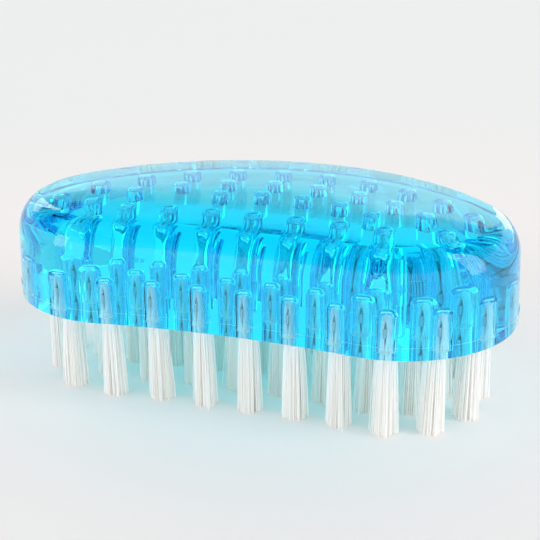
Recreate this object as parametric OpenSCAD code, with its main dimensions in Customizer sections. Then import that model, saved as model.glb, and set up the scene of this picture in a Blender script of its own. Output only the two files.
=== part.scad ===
// Nail brush: a clear bean-shaped block with tufts of nylon bristle set in blind
// holes in its flat underside. Each tuft is folded over a flat metal anchor that
// holds it in its hole. X is the long axis, the hollow front edge faces -Y, and
// the bristle tips are trimmed flat on Z = 0.

/* [Block outline] */
// Length over both round ends
block_l = 92; // [84:1:104]
// Width from the round ends' front to the middle of the back edge
block_w = 54; // [51:1:60]
// Radius of the two round ends
lobe_r = 21; // [19:0.5:23]
// Depth of the hollow in the front edge
waist_dip = 1.6; // [0.8:0.1:4]

/* [Block section] */
// Height of the block, from underside to the top of its crown
block_h = 18.4; // [15:0.1:24]
// Height of the lip below the mould's parting line
lip_h = 2.2; // [1:0.1:3.5]
// Step of the wall at the parting line
parting_step = 0.12; // [0.05:0.01:0.25]
// Lean of the wall from the parting line to its shoulder
wall_lean = 0.4; // [0.1:0.05:1]
// Height of the rounded top edge
edge_rise = 5.4; // [3:0.1:8]
// Width of the rounded top edge, seen from above
edge_run = 4.2; // [2:0.1:6]
// Rise of the crown from the rounded edge to its flat middle
crown_h = 1.4; // [0.5:0.1:3]

/* [Tuft holes] */
// Diameter of a tuft hole
hole_d = 3.5; // [2.8:0.1:4]
// Depth of a tuft hole
hole_depth = 6.8; // [5:0.1:9]
// Distance from the block's edge to the outer ring of holes
hole_margin = 6.3; // [5:0.1:7.5]
// Holes in the outer ring
outer_n = 23; // [18:1:25]
// Holes in the middle ring
middle_n = 18; // [12:1:19]
// Holes in the inner row next to the front edge
inner_front_n = 7; // [5:1:8]
// Holes in the inner row next to the back edge
inner_back_n = 5; // [3:1:5]

/* [Bristles] */
// Length of bristle below the block
bristle_l = 16.2; // [10:0.1:20]
// Width of one side of a three-sided strand
strand_w = 0.95; // [0.5:0.05:1]
// Width of a tuft at its trimmed tips
tip_d = 4.5; // [3.6:0.1:4.9]
// Strands of a tuft round its middle one
strand_n = 6; // [4:1:6]

/* [Anchors] */
// Thickness of an anchor plate
anchor_t = 0.5; // [0.3:0.05:0.7]
// Height of an anchor plate
anchor_h = 1.6; // [1:0.1:2.2]
// Distance from a hole's blind end to the anchor plate
anchor_depth = 2.9; // [1:0.1:3.4]
// Gap round a tuft root and its anchor
root_clear = 0.1; // [0.05:0.01:0.2]

/* [Hidden] */

// The outline is four tangent arcs: two lobes, the back and the hollow waist
lobe_x = block_l / 2 - lobe_r;
lobe_y = lobe_r - block_w / 2;
bulge = block_w - 2 * lobe_r;
back_reach = (lobe_x * lobe_x + bulge * bulge) / (2 * bulge);
back_r = back_reach + lobe_r;
back_y = lobe_y - back_reach + bulge;
back_a = atan2(back_reach - bulge, lobe_x);
waist_reach = (lobe_x * lobe_x + waist_dip * waist_dip) / (2 * waist_dip);
waist_r = waist_reach - lobe_r;
waist_y = lobe_y - waist_reach + waist_dip;
waist_a = asin(lobe_x / waist_reach);

// Segments of each arc and of each part of the section
lobe_seg = 22;
back_seg = 18;
waist_seg = 8;
edge_seg = 5;
crown_seg = 3;
// Segments of a round hole, and the sides of the bundle packed in it
round_fn = 48;
root_sides = 12;

// How far the crown reaches in, as a share of the lobe radius
crown_reach_share = 0.86;
// Spacing of the rows, as a share of the way between the outermost two
row_share = 0.178;
// Where each pattern starts or how far it is shifted, as a share of its own pitch
outer_start_share = 0.43;
middle_start_share = 0.76;
front_shift_share = -0.15;
back_shift_share = 0.56;
// How much closer the holes of a ring sit at the waist's right end than at the far
// side, as a share of the ring's length
ring_ease_share = 0.011;
// Length of the inner front row, as a share of the way between the lobe centres
inner_reach_share = 0.965;
// How far a strand is sunk into its tuft's root, as a share of the hole's depth
strand_root_share = 0.18;
// Overrun that keeps cuts clear of the faces they cut
cut = 0.5;

mid_w = block_w - waist_dip;
row_pitch = row_share * (mid_w - 2 * hole_margin);
middle_inset = hole_margin + row_pitch;
inner_inset = hole_margin + 2 * row_pitch;
inner_pitch = inner_reach_share * 2 * lobe_x / (inner_front_n - 1);
shoulder_h = block_h - crown_h - edge_rise;
shoulder_inset = parting_step + wall_lean;
root_d = hole_d - 2 * root_clear;
root_l = hole_depth - root_clear;
anchor_z = bristle_l + hole_depth - anchor_depth - anchor_h;

function arc_length(r, sweep) = r * sweep * PI / 180;

function arc_point(cx, cy, r, a) = [cx + r * cos(a), cy + r * sin(a)];

function arc_points(cx, cy, r, a0, a1, n) =
    [for (i = [0:n - 1]) arc_point(cx, cy, r, a0 + (a1 - a0) * i / n)];

// The outline moved in by inset, anticlockwise from the waist's right end
function outline(inset) = concat(
    arc_points(lobe_x, lobe_y, lobe_r - inset, -90 - waist_a, back_a, lobe_seg),
    arc_points(0, back_y, back_r - inset, back_a, 180 - back_a, back_seg),
    arc_points(-lobe_x, lobe_y, lobe_r - inset, 180 - back_a, 270 + waist_a, lobe_seg),
    arc_points(0, waist_y, waist_r + inset, 90 + waist_a, 90 - waist_a, waist_seg)
);

lobe_sweep = 90 + waist_a + back_a;
back_sweep = 180 - 2 * back_a;

function ring_length(inset) =
    2 * arc_length(lobe_r - inset, lobe_sweep) + arc_length(back_r - inset, back_sweep)
    + arc_length(waist_r + inset, 2 * waist_a);

// The point at distance s along the outline moved in by inset
function ring_point(inset, s) =
    let (
        lobe_len = arc_length(lobe_r - inset, lobe_sweep),
        back_len = arc_length(back_r - inset, back_sweep),
        waist_len = arc_length(waist_r + inset, 2 * waist_a),
        after_right = s - lobe_len,
        after_back = after_right - back_len,
        after_left = after_back - lobe_len
    )
    after_right < 0
        ? arc_point(lobe_x, lobe_y, lobe_r - inset, -90 - waist_a + lobe_sweep * s / lobe_len)
    : after_back < 0
        ? arc_point(0, back_y, back_r - inset, back_a + back_sweep * after_right / back_len)
    : after_left < 0
        ? arc_point(-lobe_x, lobe_y, lobe_r - inset,
            180 - back_a + lobe_sweep * after_back / lobe_len)
    : arc_point(0, waist_y, waist_r + inset,
        90 + waist_a - 2 * waist_a * after_left / waist_len);

function ring_places(inset, n, start_share) =
    [for (i = [0:n - 1])
        let (
            share = (i + start_share) / n,
            eased = share - ring_ease_share * sin(360 * share)
        )
        ring_point(inset, eased * ring_length(inset))];

// Places along an arc about its own top, from left to right
function row_places(cy, r, n, pitch, shift_share) =
    [for (i = [0:n - 1])
        let (along = (i - (n - 1) / 2 + shift_share) * pitch)
        arc_point(0, cy, r, 90 - along * 180 / PI / r)];

outer_places = ring_places(hole_margin, outer_n, outer_start_share);
middle_places = ring_places(middle_inset, middle_n, middle_start_share);
inner_front_places =
    row_places(waist_y, waist_r + inner_inset, inner_front_n, inner_pitch, front_shift_share);
inner_back_places =
    row_places(back_y, back_r - inner_inset, inner_back_n, inner_pitch, back_shift_share);
inner_places = concat(inner_front_places, inner_back_places);
all_places = concat(outer_places, middle_places, inner_places);

// The wall's section as [inset, height] pairs, from the underside to the flat middle
crown_end = crown_reach_share * lobe_r;
crown_run = crown_end - shoulder_inset;

function crown_rise(inset) =
    crown_h * (1 - pow(1 - (inset - shoulder_inset) / crown_run, 2));

section = concat(
    [[0, 0], [0, lip_h], [parting_step, lip_h], [shoulder_inset, shoulder_h]],
    [for (i = [1:edge_seg])
        let (
            a = 90 * i / edge_seg,
            inset = shoulder_inset + edge_run * (1 - cos(a))
        )
        [inset, shoulder_h + edge_rise * sin(a) + crown_rise(inset)]],
    [for (i = [1:crown_seg])
        let (inset = shoulder_inset + edge_run + (crown_run - edge_run) * i / crown_seg)
        [inset, shoulder_h + edge_rise + crown_rise(inset)]]
);

// A closed skin through rings of points that lie above one another
module skin(rings) {
    n = len(rings[0]);
    last = len(rings) - 1;
    sides = [for (k = [0:last - 1], i = [0:n - 1])
        let (
            j = (i + 1) % n,
            a = k * n + i,
            b = k * n + j
        )
        each [[a, b + n, b], [a, a + n, b + n]]];
    bottom = [for (i = [0:n - 1]) i];
    top = [for (i = [n - 1:-1:0]) last * n + i];
    polyhedron([for (ring = rings) each ring], concat([bottom, top], sides), convexity = 6);
}

module solid_block() {
    skin([for (pair = section)
        [for (p = outline(pair[0])) [p.x, p.y, bristle_l + pair[1]]]]);
}

module handle() {
    color("deepskyblue", 0.6)
        difference() {
            solid_block();
            for (p = all_places)
                translate([p.x, p.y, bristle_l - cut])
                    cylinder(d = hole_d, h = hole_depth + cut, $fn = round_fn);
        }
}

// One three-sided strand from inside the root down to the trimmed tips, which a
// flat cut leaves on Z = 0; its inner corner points at the middle of the tuft
module strand(root_out, tip_out, turn) {
    corner_out = strand_w / (2 * cos(30));
    root_z = bristle_l + strand_root_share * hole_depth;
    skin([for (end = [[tip_out, 0], [root_out, root_z]])
        [for (a = [-60, 60, 180])
            let (
                radial = end[0] + corner_out * cos(a),
                across = corner_out * sin(a)
            )
            [
                radial * cos(turn) - across * sin(turn),
                radial * sin(turn) + across * cos(turn),
                end[1]
            ]]]);
}

// A bundle of strands fused to its folded root, which wraps round the anchor plate
module tuft(p) {
    root_out = (root_d - strand_w) / 2;
    tip_out = (tip_d - strand_w) / 2;
    color("white")
        translate([p.x, p.y, 0]) {
            difference() {
                translate([0, 0, bristle_l])
                    cylinder(d = root_d, h = root_l, $fn = root_sides);
                translate([-anchor_t / 2, -hole_d / 2, anchor_z])
                    cube([anchor_t, hole_d, anchor_h]);
            }
            strand(0, 0, 0);
            for (i = [1:strand_n])
                strand(root_out, tip_out, 360 * i / strand_n);
        }
}

// Flat plates, edge on to the front, across the roots of the tufts at these places
module anchors(places) {
    color("slategray")
        for (p = places)
            translate([p.x - anchor_t / 2, p.y - root_d / 2, anchor_z])
                cube([anchor_t, root_d, anchor_h]);
}

handle();
for (i = [1:outer_n])
    tuft(outer_places[i - 1]);
for (i = [1:middle_n])
    tuft(middle_places[i - 1]);
for (i = [1:inner_front_n])
    tuft(inner_front_places[i - 1]);
for (i = [1:inner_back_n])
    tuft(inner_back_places[i - 1]);
anchors(outer_places);  // anchors_outer
anchors(middle_places);  // anchors_middle
anchors(inner_places);  // anchors_inner
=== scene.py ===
# Nail brush: a clear blue block, drilled from below, whose blind holes hold tufts of
# white nylon, each folded over a flat steel anchor. It stands on its bristle tips.
import math
import random

import bmesh
import bpy
from mathutils import Matrix, Vector


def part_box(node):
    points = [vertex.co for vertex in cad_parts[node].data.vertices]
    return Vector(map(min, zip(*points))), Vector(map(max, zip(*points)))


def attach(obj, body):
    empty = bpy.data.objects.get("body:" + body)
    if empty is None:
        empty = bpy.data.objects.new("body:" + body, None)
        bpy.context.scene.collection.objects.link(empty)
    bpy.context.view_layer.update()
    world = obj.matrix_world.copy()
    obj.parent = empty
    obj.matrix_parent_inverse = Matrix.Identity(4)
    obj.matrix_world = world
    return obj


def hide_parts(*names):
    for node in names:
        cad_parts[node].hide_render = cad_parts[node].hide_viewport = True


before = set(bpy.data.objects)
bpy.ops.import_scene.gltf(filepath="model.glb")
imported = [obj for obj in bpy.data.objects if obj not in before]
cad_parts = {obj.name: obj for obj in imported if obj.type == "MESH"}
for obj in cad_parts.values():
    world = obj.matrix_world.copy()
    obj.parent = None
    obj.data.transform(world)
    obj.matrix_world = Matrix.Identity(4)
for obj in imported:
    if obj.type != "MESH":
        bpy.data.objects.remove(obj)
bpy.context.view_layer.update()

MM = 0.001

# Sizes of the block, its holes and its anchors, the same as the model's own
BLOCK_L = 92 * MM
BLOCK_W = 54 * MM
LOBE_R = 21 * MM
WAIST_DIP = 1.6 * MM
LIP_H = 2.2 * MM
PARTING_STEP = 0.12 * MM
WALL_LEAN = 0.4 * MM
EDGE_RISE = 5.4 * MM
EDGE_RUN = 4.2 * MM
CROWN_H = 1.4 * MM
CROWN_REACH_SHARE = 0.86
HOLE_D = 3.5 * MM
HOLE_DEPTH = 6.8 * MM
ANCHOR_T = 0.5 * MM
ANCHOR_CLEAR = 0.1 * MM

# Small roundings that a mould or a press leaves and the model has no need of
RIM_R = 0.15 * MM
BORE_RIM_R = 0.05 * MM
BLIND_R = 1.2 * MM
ANCHOR_EDGE_R = 0.12 * MM

# The lobes of a blind end: from what share of the depth, how far out as a share of the
# radius, and the count and first turn of each set
BLIND_FROM_SHARE = 0.78
BLIND_LOBE_SHARE = 0.018
BLIND_LOBES = ((5, 0.0), (9, 1.0))

# Fineness of the meshes
LOBE_STEPS = 84
BACK_STEPS = 84
WAIST_STEPS = 36
RIM_STEPS = 3
WALL_STEPS = 6
EDGE_STEPS = 16
CROWN_STEPS = 16
HOLE_STEPS = 40
BLIND_STEPS = 8
ANCHOR_EDGE_STEPS = 2
MERGE_DISTANCE = 0.002 * MM
SHARP_ANGLE = math.radians(35)

# The filaments in their hole: half their thickness, their spacing and the bundle's reach
FILAMENT_R = 0.095 * MM
FILAMENT_PITCH = 0.18 * MM
BUNDLE_R = 1.38 * MM
# How much wider the bundle is at the hole's mouth, and how far it reaches at the tips
MOUTH_SPREAD = 1.14
TIP_R = 2.4 * MM
# How far a tip lies from its regular place, a tuft leans and the trimmed ends differ
TIP_JITTER = 0.22 * MM
TUFT_LEAN = 0.3 * MM
TRIM_SLACK = 0.12 * MM
# How many filaments stray, and how many times farther than the others
STRAY_SHARE = 0.03
STRAY_REACH = 6
# Points of a leg, as shares of its way down, and the power that bends it out early
LEG_SHARES = (1.0, 0.66, 0.33)
FLARE_POWER = 0.6
# Points of a fold, and the power by which it rises higher the farther out it starts
FOLD_TURNS = (math.pi / 4, math.pi / 2, 3 * math.pi / 4)
FOLD_POWER = 0.6
SEED = 7

# The camera stands where the photograph was taken from
CAMERA_AZIMUTH = math.radians(18.66)
CAMERA_ELEVATION = math.radians(20.63)
CAMERA_DISTANCE = 184.2 * MM
CAMERA_ROLL = math.radians(-0.73)
CAMERA_AIM = Vector((0, -6, 25)) * MM
CAMERA_SHIFT_RIGHT = 1.79 * MM
CAMERA_SHIFT_UP = -3.84 * MM
CAMERA_LENS = 68.49
CAMERA_NEAR = 10 * MM
CAMERA_FAR = 10.0

# The floor, the distances over which a painted pool of lighter, warmer light round the brush fades out, and
# that of the lights
FLOOR_REACH = 1.5
FLOOR_PAINTED_LIGHT_TO = 60 * MM
FLOOR_PAINTED_LIGHT_GONE_FROM = 260 * MM
LIGHT_DISTANCE = 8.0

# The tent fades from the horizon up to this height of a unit direction
TENT_FADE_TOP = 0.64
# What a glossy surface reflects: a bright low backdrop, its shaded upper part, a dark ceiling
SHEEN = (
    (0, "#FFFFFF"), (15.5, "#FDFEFE"), (16.4, "#A9B1B7"), (20, "#7C868D"), (29, "#606B72"), (31, "#3C464C"),
)
# The shade starts higher towards the right, where the backdrop catches the right softbox
SHEEN_RISE = 0.1
SHEEN_RISE_FROM = -0.3

GLASS_BOUNCES = 32
GLOSSY_BOUNCES = 8

handle_low, handle_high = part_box("handle")
UNDERSIDE = handle_low.z
BLOCK_H = handle_high.z - handle_low.z
anchor_low, anchor_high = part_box("anchors_outer")
ANCHOR_LOW = anchor_low.z
ANCHOR_HIGH = anchor_high.z

TUFTS = sorted(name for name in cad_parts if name.startswith("tuft"))

# The outline is four tangent arcs: two lobes, the back and the hollow waist
LOBE_X = BLOCK_L / 2 - LOBE_R
LOBE_Y = LOBE_R - BLOCK_W / 2
BULGE = BLOCK_W - 2 * LOBE_R
BACK_REACH = (LOBE_X ** 2 + BULGE ** 2) / (2 * BULGE)
BACK_Y = LOBE_Y - BACK_REACH + BULGE
BACK_TURN = math.atan2(BACK_REACH - BULGE, LOBE_X)
WAIST_REACH = (LOBE_X ** 2 + WAIST_DIP ** 2) / (2 * WAIST_DIP)
WAIST_Y = LOBE_Y - WAIST_REACH + WAIST_DIP
WAIST_TURN = math.asin(LOBE_X / WAIST_REACH)

# The innermost filaments touch the anchor, and the folds fit under the blind end
INNER_X = ANCHOR_T / 2 + FILAMENT_R
FOLD_ROOM = UNDERSIDE + HOLE_DEPTH - ANCHOR_HIGH - 2 * FILAMENT_R


def linear(code, alpha=1.0):
    """The linear colour of an sRGB hex code."""
    channels = [int(code[i:i + 2], 16) / 255 for i in (1, 3, 5)]
    return [c / 12.92 if c <= 0.04045 else ((c + 0.055) / 1.055) ** 2.4 for c in channels] + [alpha]


def add_node(tree, kind, inputs=None, **settings):
    """Adds a node, with settings as its own values and inputs as values or links for its sockets."""
    node = tree.nodes.new(kind)
    for name, value in settings.items():
        setattr(node, name, value)
    for name, value in (inputs or {}).items():
        if isinstance(value, bpy.types.NodeSocket):
            tree.links.new(value, node.inputs[name])
        else:
            node.inputs[name].default_value = value
    return node


def new_material(name):
    """An empty node material and its output node."""
    material = bpy.data.materials.new(name)
    material.use_nodes = True
    material.node_tree.nodes.clear()
    return material, add_node(material.node_tree, "ShaderNodeOutputMaterial")


def moulded_acrylic():
    """Clear blue acrylic, injection moulded and polished: glassy, deep blue only where it is thick.

    The dye takes some green at the skin, and the red with depth.
    """
    material, output = new_material("moulded_clear_acrylic")
    tree = material.node_tree
    place = add_node(tree, "ShaderNodeTexCoord").outputs["Object"]
    # Shrinkage leaves waves some 25 mm long, which show only in the reflections
    waves = add_node(tree, "ShaderNodeTexNoise", {"Vector": place, "Scale": 1 / (25 * MM), "Detail": 1.0})
    # Handling leaves hairline rubbing marks about 0.5 mm wide
    rubs = add_node(tree, "ShaderNodeTexNoise", {"Vector": place, "Scale": 1 / (0.5 * MM), "Detail": 3.0})
    haze = add_node(tree, "ShaderNodeMapRange", {
        "Value": rubs.outputs["Fac"], "From Min": 0.45, "From Max": 0.75, "To Min": 0.0, "To Max": 0.04,
    })
    bump = add_node(tree, "ShaderNodeBump", {
        "Height": waves.outputs["Fac"], "Strength": 0.25, "Distance": 0.1 * MM,
    })
    shader = add_node(tree, "ShaderNodeBsdfPrincipled", {
        "Base Color": linear("#F9F5FF"),
        "Roughness": haze.outputs["Result"],
        "IOR": 1.49,
        "Transmission Weight": 1.0,
        "Normal": bump.outputs["Normal"],
    })
    tint = add_node(tree, "ShaderNodeVolumeAbsorption", {"Color": linear("#20F9FF"), "Density": 108.0})
    tree.links.new(shader.outputs["BSDF"], output.inputs["Surface"])
    tree.links.new(tint.outputs["Volume"], output.inputs["Volume"])
    return material


def drawn_nylon():
    """White nylon filament, drawn through a die: milky, with a satin sheen along its length."""
    material, output = new_material("drawn_white_nylon")
    tree = material.node_tree
    place = add_node(tree, "ShaderNodeTexCoord").outputs["Object"]
    # Streaks as wide as two or three filaments and many times as long
    streaks = add_node(tree, "ShaderNodeMapping", {"Vector": place, "Scale": (1.0, 1.0, 0.06)})
    tone = add_node(tree, "ShaderNodeTexNoise", {
        "Vector": streaks.outputs["Vector"], "Scale": 1 / (0.5 * MM), "Detail": 2.0,
    })
    colour = add_node(tree, "ShaderNodeMix", {
        "Factor": tone.outputs["Fac"], "A": linear("#FBF8F5"), "B": linear("#FFFDFA"),
    }, data_type="RGBA")
    shader = add_node(tree, "ShaderNodeBsdfPrincipled", {
        "Base Color": colour.outputs["Result"],
        "Roughness": 0.38,
        "IOR": 1.53,
        "Subsurface Weight": 1.0,
        "Subsurface Radius": (1.0, 1.0, 1.0),
        "Subsurface Scale": 0.1 * MM,
    })
    tree.links.new(shader.outputs["BSDF"], output.inputs["Surface"])
    return material


def rolled_steel():
    """Flat steel wire, rolled and cut: dull grey, with fine lines along the roll."""
    material, output = new_material("rolled_steel_wire")
    tree = material.node_tree
    place = add_node(tree, "ShaderNodeTexCoord").outputs["Object"]
    # Roll lines about 0.15 mm apart, ten times as long
    rolled = add_node(tree, "ShaderNodeMapping", {"Vector": place, "Scale": (1.0, 0.1, 1.0)})
    lines = add_node(tree, "ShaderNodeTexNoise", {
        "Vector": rolled.outputs["Vector"], "Scale": 1 / (0.15 * MM), "Detail": 2.0,
    })
    roughness = add_node(tree, "ShaderNodeMapRange", {
        "Value": lines.outputs["Fac"], "To Min": 0.3, "To Max": 0.55,
    })
    shader = add_node(tree, "ShaderNodeBsdfPrincipled", {
        "Base Color": linear("#D2D6D8"),
        "Metallic": 1.0,
        "Roughness": roughness.outputs["Result"],
    })
    tree.links.new(shader.outputs["BSDF"], output.inputs["Surface"])
    return material


def node_middle(name):
    """The middle of a node's box."""
    low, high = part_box(name)
    return (low + high) / 2


def finish_mesh(bm, name):
    """Turns a bmesh into a mesh and frees it."""
    mesh = bpy.data.meshes.new(name)
    bm.to_mesh(mesh)
    bm.free()
    return mesh


def finish_piece(mesh, name, material, nodes):
    """Makes a piece of a mesh that stands for these nodes of the model."""
    mesh.materials.clear()
    mesh.materials.append(material)
    piece = bpy.data.objects.new(name, mesh)
    bpy.context.scene.collection.objects.link(piece)
    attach(piece, "root")
    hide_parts(*nodes)
    return piece


def rim_section(radius):
    """A rounded rim as pairs of how far out and how high, from its face up to its wall."""
    pairs = []
    for i in range(RIM_STEPS + 1):
        turn = math.pi / 2 * i / RIM_STEPS
        pairs.append((radius * (1 - math.sin(turn)), radius * (1 - math.cos(turn))))
    return pairs


def wall_section():
    """The block's section as pairs of inset and height, from the rim of the underside to the crown."""
    shoulder_inset = PARTING_STEP + WALL_LEAN
    shoulder_h = BLOCK_H - CROWN_H - EDGE_RISE
    crown_run = CROWN_REACH_SHARE * LOBE_R - shoulder_inset

    def crown_rise(inset):
        return CROWN_H * (1 - (1 - (inset - shoulder_inset) / crown_run) ** 2)

    lip = [(0.0, LIP_H), (PARTING_STEP, LIP_H)]
    wall = []
    for i in range(1, WALL_STEPS + 1):
        share = i / WALL_STEPS
        wall.append((PARTING_STEP + WALL_LEAN * share, LIP_H + (shoulder_h - LIP_H) * share))
    edge = []
    for i in range(1, EDGE_STEPS + 1):
        turn = math.pi / 2 * i / EDGE_STEPS
        inset = shoulder_inset + EDGE_RUN * (1 - math.cos(turn))
        edge.append((inset, shoulder_h + EDGE_RISE * math.sin(turn) + crown_rise(inset)))
    crown = []
    for i in range(1, CROWN_STEPS + 1):
        inset = shoulder_inset + EDGE_RUN + (crown_run - EDGE_RUN) * i / CROWN_STEPS
        crown.append((inset, shoulder_h + EDGE_RISE + crown_rise(inset)))
    return rim_section(RIM_R) + lip + wall + edge + crown


def sweep_section(bm):
    """Sweeps the wall's section round the four arcs of the outline; returns its topmost edges."""
    side = Vector((math.cos(-math.pi / 2 - WAIST_TURN), math.sin(-math.pi / 2 - WAIST_TURN), 0))
    foot = Vector((LOBE_X, LOBE_Y, UNDERSIDE))
    up = Vector((0, 0, 1))
    points = [bm.verts.new(foot + side * (LOBE_R - inset) + up * height) for inset, height in wall_section()]
    section = [bm.edges.new(pair) for pair in zip(points, points[1:])]
    lobe_sweep = math.pi / 2 + WAIST_TURN + BACK_TURN
    arcs = (
        (LOBE_X, LOBE_Y, lobe_sweep, LOBE_STEPS),
        (0.0, BACK_Y, math.pi - 2 * BACK_TURN, BACK_STEPS),
        (-LOBE_X, LOBE_Y, lobe_sweep, LOBE_STEPS),
        (0.0, WAIST_Y, -2 * WAIST_TURN, WAIST_STEPS),
    )
    last = points + section
    for x, y, sweep, steps in arcs:
        turned = bmesh.ops.spin(
            bm, geom=last, cent=(x, y, 0), axis=(0, 0, 1), angle=sweep, steps=steps,
            use_merge=False, use_duplicate=False,
        )
        last = turned["geom_last"]
    bmesh.ops.remove_doubles(bm, verts=bm.verts, dist=MERGE_DISTANCE)
    top = max(vert.co.z for vert in bm.verts)
    return [edge for edge in bm.edges if edge.is_boundary and min(v.co.z for v in edge.verts) > top - RIM_R]


def hole_section():
    """The radius and height of a hole's wall, from its rounded rim to the middle of its blind end."""
    bore_r = HOLE_D / 2
    rim = [(bore_r + out, height) for out, height in rim_section(BORE_RIM_R)]
    blind = []
    for i in range(BLIND_STEPS + 1):
        turn = math.pi / 2 * i / BLIND_STEPS
        blind.append((
            bore_r - BLIND_R * (1 - math.cos(turn)),
            HOLE_DEPTH - BLIND_R * (1 - math.sin(turn)),
        ))
    return rim + blind + [(0.0, HOLE_DEPTH)]


def hole_wall():
    """The wall of one blind hole, turned round its axis at the origin."""
    bm = bmesh.new()
    points = [bm.verts.new((radius, 0, UNDERSIDE + height)) for radius, height in hole_section()]
    lines = [bm.edges.new(pair) for pair in zip(points, points[1:])]
    bmesh.ops.spin(
        bm, geom=points + lines, cent=(0, 0, 0), axis=(0, 0, 1), angle=2 * math.pi, steps=HOLE_STEPS,
        use_merge=True, use_duplicate=False,
    )
    bmesh.ops.remove_doubles(bm, verts=bm.verts, dist=MERGE_DISTANCE)
    # The blind end is a little lobed, as a worn core pin leaves it
    for vert in bm.verts:
        share = max(0.0, (vert.co.z - UNDERSIDE) / HOLE_DEPTH - BLIND_FROM_SHARE) / (1 - BLIND_FROM_SHARE)
        turn = math.atan2(vert.co.y, vert.co.x)
        lobes = sum(math.sin(count * turn + first) for count, first in BLIND_LOBES)
        reach = 1 + BLIND_LOBE_SHARE * share * lobes
        vert.co.x *= reach
        vert.co.y *= reach
    return finish_mesh(bm, "hole_wall")


def clear_block(material):
    """The solid block with a blind hole over each tuft, one closed skin."""
    bm = bmesh.new()
    crown_rim = sweep_section(bm)
    bmesh.ops.contextual_create(bm, geom=crown_rim)
    wall = hole_wall()
    rng = random.Random(SEED)
    for name in TUFTS:
        middle = node_middle(name)
        turned = wall.copy()
        turn = Matrix.Rotation(rng.uniform(0, 2 * math.pi), 4, "Z")
        turned.transform(Matrix.Translation((middle.x, middle.y, 0)) @ turn)
        bm.from_mesh(turned)
        bpy.data.meshes.remove(turned)
    bpy.data.meshes.remove(wall)
    rims = [edge for edge in bm.edges if edge.is_boundary]
    bmesh.ops.triangle_fill(bm, use_beauty=True, use_dissolve=False, edges=rims, normal=(0, 0, -1))
    bmesh.ops.recalc_face_normals(bm, faces=bm.faces)
    for face in bm.faces:
        face.smooth = True
    for edge in bm.edges:
        edge.smooth = edge.calc_face_angle(0.0) < SHARP_ANGLE
    # The flat underside keeps its own shading up to the rims
    for edge in rims:
        if edge.is_valid:
            edge.smooth = False
    mesh = finish_mesh(bm, "clear_block")
    return finish_piece(mesh, "clear_block", material, ["handle"])


def filament_feet():
    """Places of the filaments on one side of an anchor, in hexagonal rows."""
    feet = []
    row_step = FILAMENT_PITCH * math.sin(math.pi / 3)
    count = int(BUNDLE_R / FILAMENT_PITCH)
    for row in range(int(2 * BUNDLE_R / row_step)):
        x = INNER_X + row * row_step
        shift = FILAMENT_PITCH / 2 if row % 2 else 0.0
        for i in range(-count, count + 1):
            y = i * FILAMENT_PITCH + shift
            if math.hypot(x, y) <= BUNDLE_R - FILAMENT_R:
                feet.append((x, y))
    return feet


def filament_leg(foot, side, lean, rng):
    """Points of one leg, from its trimmed tip up to the anchor's top."""
    x, y = foot
    mouth_x = (x - INNER_X) * BUNDLE_R / (BUNDLE_R - INNER_X) + FILAMENT_R
    mouth = Vector((side * mouth_x * MOUTH_SPREAD, y * MOUTH_SPREAD, UNDERSIDE))
    spread = TIP_R / (BUNDLE_R * MOUTH_SPREAD)
    jitter = Vector((rng.uniform(-1, 1), rng.uniform(-1, 1), 0)) * TIP_JITTER
    if rng.random() < STRAY_SHARE:
        jitter = jitter * STRAY_REACH
    trim = rng.uniform(0, TRIM_SLACK)
    end = Vector((mouth.x * spread, mouth.y * spread, 0)) + lean + jitter
    points = []
    for share in LEG_SHARES:
        point = Vector((mouth.x, mouth.y, 0)).lerp(end, share ** FLARE_POWER)
        point.z = UNDERSIDE * (1 - share) + trim * share
        points.append(point)
    points.append(mouth)
    points.append(Vector((side * x, y, ANCHOR_LOW)))
    points.append(Vector((side * x, y, ANCHOR_HIGH)))
    return points


def tuft_piece(material, name, rng):
    """One tuft: filaments that come up one side of the anchor, fold over it and go down the other."""
    middle = node_middle(name)
    axis = Vector((middle.x, middle.y, 0))
    lean = Vector((rng.uniform(-1, 1), rng.uniform(-1, 1), 0)) * TUFT_LEAN
    curve = bpy.data.curves.new(name + "_bristles", "CURVE")
    curve.dimensions = "3D"
    curve.bevel_depth = FILAMENT_R
    curve.bevel_resolution = 0
    curve.use_fill_caps = True
    for foot in filament_feet():
        x, y = foot
        right = filament_leg(foot, 1, lean, rng)
        left = filament_leg(foot, -1, lean, rng)
        rise = FOLD_ROOM * (x / BUNDLE_R) ** FOLD_POWER
        fold = [Vector((x * math.cos(turn), y, ANCHOR_HIGH + rise * math.sin(turn))) for turn in FOLD_TURNS]
        path = right + fold + left[::-1]
        spline = curve.splines.new("POLY")
        spline.points.add(len(path) - 1)
        for point, at in zip(spline.points, path):
            point.co = (*(axis + at), 1.0)
        spline.use_smooth = False
    holder = bpy.data.objects.new(name + "_curve", curve)
    bpy.context.scene.collection.objects.link(holder)
    depsgraph = bpy.context.evaluated_depsgraph_get()
    mesh = bpy.data.meshes.new_from_object(holder.evaluated_get(depsgraph))
    bpy.data.objects.remove(holder)
    bpy.data.curves.remove(curve)
    return finish_piece(mesh, name + "_bristles", material, [name])


def anchor_piece(material, node, tufts):
    """The anchors of one ring: flat plates with broken edges, edge on to the front."""
    low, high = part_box(node)
    size = Vector((ANCHOR_T, HOLE_D - 2 * ANCHOR_CLEAR, high.z - low.z))
    bm = bmesh.new()
    for name in tufts:
        middle = node_middle(name)
        middle.z = (low.z + high.z) / 2
        matrix = Matrix.Translation(middle) @ Matrix.Diagonal((*size, 1.0))
        bmesh.ops.create_cube(bm, size=1.0, matrix=matrix)
    bmesh.ops.bevel(
        bm, geom=bm.edges[:], offset=ANCHOR_EDGE_R, offset_type="OFFSET", affect="EDGES",
        segments=ANCHOR_EDGE_STEPS, profile=0.5, material=-1,
    )
    mesh = finish_mesh(bm, node + "_plates")
    return finish_piece(mesh, node + "_plates", material, [node])


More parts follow.
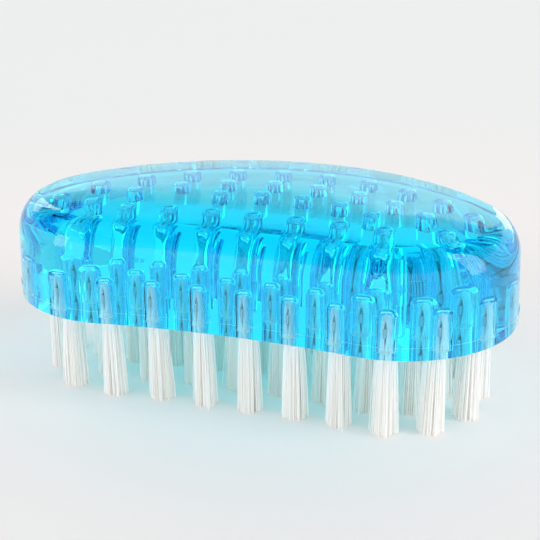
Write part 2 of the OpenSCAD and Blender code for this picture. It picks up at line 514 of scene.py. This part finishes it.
def make_camera():
    """The camera at the photograph's viewing angle."""
    back = Vector((
        math.sin(CAMERA_AZIMUTH) * math.cos(CAMERA_ELEVATION),
        -math.cos(CAMERA_AZIMUTH) * math.cos(CAMERA_ELEVATION),
        math.sin(CAMERA_ELEVATION),
    ))
    level = Vector((math.cos(CAMERA_AZIMUTH), math.sin(CAMERA_AZIMUTH), 0))
    roll = Matrix.Rotation(CAMERA_ROLL, 3, back)
    right = roll @ level
    up = roll @ back.cross(level)
    camera = bpy.data.objects.new("camera", bpy.data.cameras.new("camera"))
    camera.data.lens = CAMERA_LENS
    camera.data.clip_start = CAMERA_NEAR
    camera.data.clip_end = CAMERA_FAR
    place = CAMERA_AIM + back * CAMERA_DISTANCE + right * CAMERA_SHIFT_RIGHT + up * CAMERA_SHIFT_UP
    axes = Matrix((right, up, back)).transposed().to_4x4()
    camera.matrix_world = Matrix.Translation(place) @ axes
    bpy.context.scene.collection.objects.link(camera)
    bpy.context.scene.camera = camera


def make_floor():
    """A pale paper sweep that the brush stands on, with painted light: a little warmer and lighter in its
    middle.
    """
    material, output = new_material("pale_matt_paper_painted_light")
    tree = material.node_tree
    place = add_node(tree, "ShaderNodeTexCoord").outputs["Object"]
    distance = add_node(tree, "ShaderNodeVectorMath", {0: place}, operation="LENGTH")
    painted_light_fade = add_node(tree, "ShaderNodeMapRange", {
        "Value": distance.outputs["Value"], "From Min": FLOOR_PAINTED_LIGHT_TO, "From Max": FLOOR_PAINTED_LIGHT_GONE_FROM,
    }, interpolation_type="SMOOTHSTEP")
    # Painted light: near the brush, where the block casts its shade and blue tint, the paper is painted
    # lighter and warmer. Farther out it turns plain.
    colour = add_node(tree, "ShaderNodeMix", {
        "Factor": painted_light_fade.outputs["Result"], "A": linear("#FBF5F2"), "B": linear("#F4F3F2"),
    }, data_type="RGBA")
    paper = add_node(tree, "ShaderNodeBsdfDiffuse", {"Color": colour.outputs["Result"]})
    tree.links.new(paper.outputs["BSDF"], output.inputs["Surface"])
    bm = bmesh.new()
    bmesh.ops.create_grid(bm, x_segments=1, y_segments=1, size=FLOOR_REACH)
    mesh = finish_mesh(bm, "floor")
    mesh.materials.append(material)
    floor = bpy.data.objects.new("floor", mesh)
    bpy.context.scene.collection.objects.link(floor)


def add_sheen(tree, height, across):
    """The sheen's colour, by the height of a reflected direction and how far it points right."""
    rise = add_node(tree, "ShaderNodeMapRange", {
        "Value": across, "From Min": SHEEN_RISE_FROM, "From Max": 0.0, "To Min": 0.0, "To Max": SHEEN_RISE,
    }, interpolation_type="SMOOTHSTEP").outputs["Result"]
    lowered = add_node(tree, "ShaderNodeMath", {0: height, 1: rise}, operation="SUBTRACT")
    sheen = add_node(tree, "ShaderNodeValToRGB", {"Fac": lowered.outputs["Value"]})
    elements = sheen.color_ramp.elements
    for _ in SHEEN[2:]:
        elements.new(1.0)
    for element, (elevation, code) in zip(elements, SHEEN):
        element.position = math.sin(math.radians(elevation))
        element.color = linear(code)
    return sheen.outputs["Color"]


def add_fade(tree, height, code, low, high):
    """A colour that is low times as bright at the horizon and high times at the fade's top."""
    share = add_node(tree, "ShaderNodeMapRange", {
        "Value": height, "From Min": 0.0, "From Max": TENT_FADE_TOP, "To Min": low, "To Max": high,
    }).outputs["Result"]
    return add_node(tree, "ShaderNodeVectorMath", {
        0: linear(code)[:3], "Scale": share,
    }, operation="SCALE").outputs["Vector"]


def make_world():
    """A studio with a pale backdrop all round; the block's own sheen finds it bright only low down."""
    world = bpy.data.worlds.new("studio")
    bpy.context.scene.world = world
    world.use_nodes = True
    tree = world.node_tree
    tree.nodes.clear()
    direction = add_node(tree, "ShaderNodeTexCoord").outputs["Generated"]
    parts = add_node(tree, "ShaderNodeSeparateXYZ", {"Vector": direction})
    height = parts.outputs["Z"]
    sheen = add_sheen(tree, height, parts.outputs["X"])
    # What lights the brush: most of the tent's light comes in low, from its sides
    tent = add_fade(tree, height, "#EEF0F1", 2.0, 0.76)
    path = add_node(tree, "ShaderNodeLightPath")
    reflected = add_node(tree, "ShaderNodeMix", {
        "Factor": path.outputs["Is Glossy Ray"], "A": tent, "B": sheen,
    }, data_type="RGBA").outputs["Result"]
    # Through the clear block shows the backdrop, brightest low down
    backdrop = add_fade(tree, height, "#FFFFFF", 1.4, 1.08)
    through = add_node(tree, "ShaderNodeMix", {
        "Factor": path.outputs["Is Transmission Ray"], "A": reflected, "B": backdrop,
    }, data_type="RGBA").outputs["Result"]
    seen = add_node(tree, "ShaderNodeMix", {
        "Factor": path.outputs["Is Camera Ray"], "A": through, "B": linear("#EEF0F0"),
    }, data_type="RGBA").outputs["Result"]
    light = add_node(tree, "ShaderNodeBackground", {"Color": seen})
    output = add_node(tree, "ShaderNodeOutputWorld")
    tree.links.new(light.outputs["Background"], output.inputs["Surface"])


def add_softbox(name, azimuth, elevation, width, height, radiance, shape="RECTANGLE"):
    """A soft light that faces the brush, placed and sized by angles; azimuth runs from +Y towards +X."""
    turn = math.radians(azimuth)
    tilt = math.radians(elevation)
    towards = Vector((math.sin(turn) * math.cos(tilt), math.cos(turn) * math.cos(tilt), math.sin(tilt)))
    light = bpy.data.lights.new(name, "AREA")
    light.shape = shape
    light.size = 2 * LIGHT_DISTANCE * math.tan(math.radians(width / 2))
    light.size_y = 2 * LIGHT_DISTANCE * math.tan(math.radians(height / 2))
    area = light.size * light.size_y
    if shape == "ELLIPSE":
        area = area * math.pi / 4
    light.energy = radiance * area * math.pi
    lamp = bpy.data.objects.new(name, light)
    bpy.context.scene.collection.objects.link(lamp)
    lamp.location = CAMERA_AIM + towards * LIGHT_DISTANCE
    lamp.rotation_euler = (-towards).to_track_quat("-Z", "Y").to_euler()
    lamp.visible_camera = False


def make_lights():
    """Softboxes behind on both sides, a round one on the right and a small one in front."""
    add_softbox("left_softbox", -49.5, 21, 26, 9, 1.8)
    add_softbox("right_softbox", 9, 4, 19, 24, 2.0)
    add_softbox("round_softbox", 91, 22, 21, 74, 2.6, "ELLIPSE")
    add_softbox("front_square", -129, 12, 15, 26, 2.6)


def build():
    """The whole brush: the block, its tufts and their anchors."""
    acrylic = moulded_acrylic()
    nylon = drawn_nylon()
    steel = rolled_steel()
    clear_block(acrylic)
    rng = random.Random(SEED)
    for name in TUFTS:
        tuft_piece(nylon, name, rng)
    for ring in ("outer", "middle", "inner"):
        held = [name for name in TUFTS if name.startswith("tuft_" + ring)]
        anchor_piece(steel, "anchors_" + ring, held)


build()
make_camera()
make_floor()
make_world()
make_lights()

scene = bpy.context.scene
scene.view_settings.view_transform = "Standard"
scene.cycles.max_bounces = GLASS_BOUNCES
scene.cycles.transmission_bounces = GLASS_BOUNCES
scene.cycles.diffuse_bounces = GLASS_BOUNCES
scene.cycles.glossy_bounces = GLOSSY_BOUNCES
# Blurred glass would lose light between the bristles
scene.cycles.blur_glossy = 0.0
